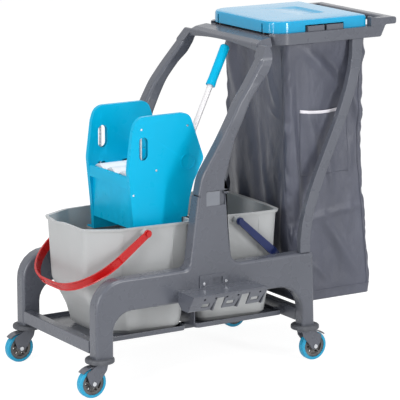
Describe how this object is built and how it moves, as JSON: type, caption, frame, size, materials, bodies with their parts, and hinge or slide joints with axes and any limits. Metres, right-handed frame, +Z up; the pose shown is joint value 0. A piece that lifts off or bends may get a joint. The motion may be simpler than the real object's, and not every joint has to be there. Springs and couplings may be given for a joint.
{
  "type": "janitor_cart",
  "caption": "Grey two-bucket janitor cart on four swivel casters with a cyan down-press mop wringer, a lidded fabric waste bag, a push handle and a tool rack on one side.",
  "frame": {"origin": "On the floor, midway between the four caster swivel axes, on the plane of left-right symmetry.", "axes": "+Z is up. +X points to the push handle, so the buckets are at -X. The tool rack is at -Y."},
  "size_m": [1.163, 0.6185, 1.0653],
  "materials": {
    "chassis_plastic": "satin",
    "latch_plastic": "satin",
    "cyan_plastic": "gloss",
    "bucket_plastic": "satin",
    "red_plastic": "gloss",
    "navy_plastic": "gloss",
    "white_plastic": "gloss",
    "hub_plastic": "satin",
    "bumper_rubber": "matte",
    "blue_tyre": "satin",
    "bag_fabric": "coated weave",
    "lever_metal": "anodised",
    "bright_steel": "zinc plated"
  },
  "bodies": {
    "chassis": {"side_frame_left": "chassis_plastic", "side_frame_right": "chassis_plastic", "front_cross_beam": "chassis_plastic", "rear_cross_beam": "chassis_plastic", "base_rails": "chassis_plastic", "front_tray": "chassis_plastic", "rear_tray": "chassis_plastic", "arm_left": "chassis_plastic", "arm_right": "chassis_plastic", "column_latches": "latch_plastic", "top_yoke": "chassis_plastic", "bag_ring": "chassis_plastic", "strut_left": "chassis_plastic", "strut_right": "chassis_plastic", "bag_clips": "chassis_plastic", "bag": "bag_fabric", "lid_pin": "bright_steel", "tool_rack": "chassis_plastic", "rack_screws": "bright_steel", "bumper_discs": "bumper_rubber", "swivel_races": "bright_steel"},
    "lid_body": {"lid": "cyan_plastic"},
    "front_bucket_body": {"front_bucket": "bucket_plastic"},
    "rear_bucket_body": {"rear_bucket": "bucket_plastic"},
    "front_bail_body": {"front_bail": "red_plastic"},
    "rear_bail_body": {"rear_bail": "navy_plastic"},
    "wringer_body": {"wringer_frame": "cyan_plastic", "wringer_cover_left": "cyan_plastic", "wringer_cover_right": "cyan_plastic", "cover_screws": "bright_steel", "guide_rods": "bright_steel"},
    "press_body": {"press_plate": "white_plastic", "press_racks": "hub_plastic"},
    "lever_body": {"lever_shaft": "bright_steel", "gear_sectors": "hub_plastic", "lever_hub": "cyan_plastic", "lever_tube": "lever_metal", "lever_grip": "cyan_plastic"},
    "front_left_fork_body": {"front_left_fork": "chassis_plastic", "front_left_axle": "bright_steel"},
    "front_right_fork_body": {"front_right_fork": "chassis_plastic", "front_right_axle": "bright_steel"},
    "rear_left_fork_body": {"rear_left_fork": "chassis_plastic", "rear_left_axle": "bright_steel"},
    "rear_right_fork_body": {"rear_right_fork": "chassis_plastic", "rear_right_axle": "bright_steel"},
    "front_left_wheel": {"front_left_hub": "hub_plastic", "front_left_tyre": "blue_tyre"},
    "front_right_wheel": {"front_right_hub": "hub_plastic", "front_right_tyre": "blue_tyre"},
    "rear_left_wheel": {"rear_left_hub": "hub_plastic", "rear_left_tyre": "blue_tyre"},
    "rear_right_wheel": {"rear_right_hub": "hub_plastic", "rear_right_tyre": "blue_tyre"}
  },
  "joints": [
    {"name": "lid_hinge", "type": "hinge", "parent": "chassis", "child": "lid_body", "pos_m": [0.282, 0, 1.045], "axis": [0, -1, 0], "range_deg": [0, 88]},
    {"name": "front_bucket_lift", "type": "slide", "parent": "chassis", "child": "front_bucket_body", "axis": [-0.8, 0, 0.6], "range_m": [0, 0.15]},
    {"name": "rear_bucket_lift", "type": "slide", "parent": "chassis", "child": "rear_bucket_body", "axis": [0.2402, 0, 0.9707], "range_m": [0, 0.08]},
    {"name": "front_bail_hinge", "type": "hinge", "parent": "front_bucket_body", "child": "front_bail_body", "pos_m": [-0.1795, 0, 0.465], "axis": [0, 1, 0], "range_deg": [-14, 84]},
    {"name": "rear_bail_hinge", "type": "hinge", "parent": "rear_bucket_body", "child": "rear_bail_body", "pos_m": [0.1475, 0, 0.465], "axis": [0, -1, 0], "range_deg": [0, 5]},
    {"name": "wringer_lift", "type": "slide", "parent": "front_bucket_body", "child": "wringer_body", "axis": [-0.8, 0, 0.6], "range_m": [0, 0.12]},
    {"name": "lever_hinge", "type": "hinge", "parent": "wringer_body", "child": "lever_body", "pos_m": [0.001, 0, 0.655], "axis": [0, -1, 0], "range_deg": [0, 60], "stiffness_Nm_per_rad": 2, "springref_deg": -28.65},
    {"name": "press_slide", "type": "slide", "parent": "wringer_body", "child": "press_body", "axis": [0, 0, -1], "range_m": [0, 0.06]},
    {"name": "front_left_swivel", "type": "hinge", "parent": "chassis", "child": "front_left_fork_body", "pos_m": [-0.367, -0.23, 0.1], "axis": [0, 0, 1], "continuous": true},
    {"name": "front_right_swivel", "type": "hinge", "parent": "chassis", "child": "front_right_fork_body", "pos_m": [-0.367, 0.23, 0.1], "axis": [0, 0, 1], "continuous": true},
    {"name": "rear_left_swivel", "type": "hinge", "parent": "chassis", "child": "rear_left_fork_body", "pos_m": [0.367, -0.23, 0.1], "axis": [0, 0, 1], "continuous": true},
    {"name": "rear_right_swivel", "type": "hinge", "parent": "chassis", "child": "rear_right_fork_body", "pos_m": [0.367, 0.23, 0.1], "axis": [0, 0, 1], "continuous": true},
    {"name": "front_left_wheel_spin", "type": "hinge", "parent": "front_left_fork_body", "child": "front_left_wheel", "pos_m": [-0.396, -0.23, 0.045], "axis": [0, 1, 0], "continuous": true},
    {"name": "front_right_wheel_spin", "type": "hinge", "parent": "front_right_fork_body", "child": "front_right_wheel", "pos_m": [-0.396, 0.23, 0.045], "axis": [0, 1, 0], "continuous": true},
    {"name": "rear_left_wheel_spin", "type": "hinge", "parent": "rear_left_fork_body", "child": "rear_left_wheel", "pos_m": [0.396, -0.23, 0.045], "axis": [0, 1, 0], "continuous": true},
    {"name": "rear_right_wheel_spin", "type": "hinge", "parent": "rear_right_fork_body", "child": "rear_right_wheel", "pos_m": [0.396, 0.23, 0.045], "axis": [0, 1, 0], "continuous": true}
  ],
  "couplings": [
    {"joint": "press_slide", "follows": "lever_hinge", "m_per_rad": 0.056}
  ]
}
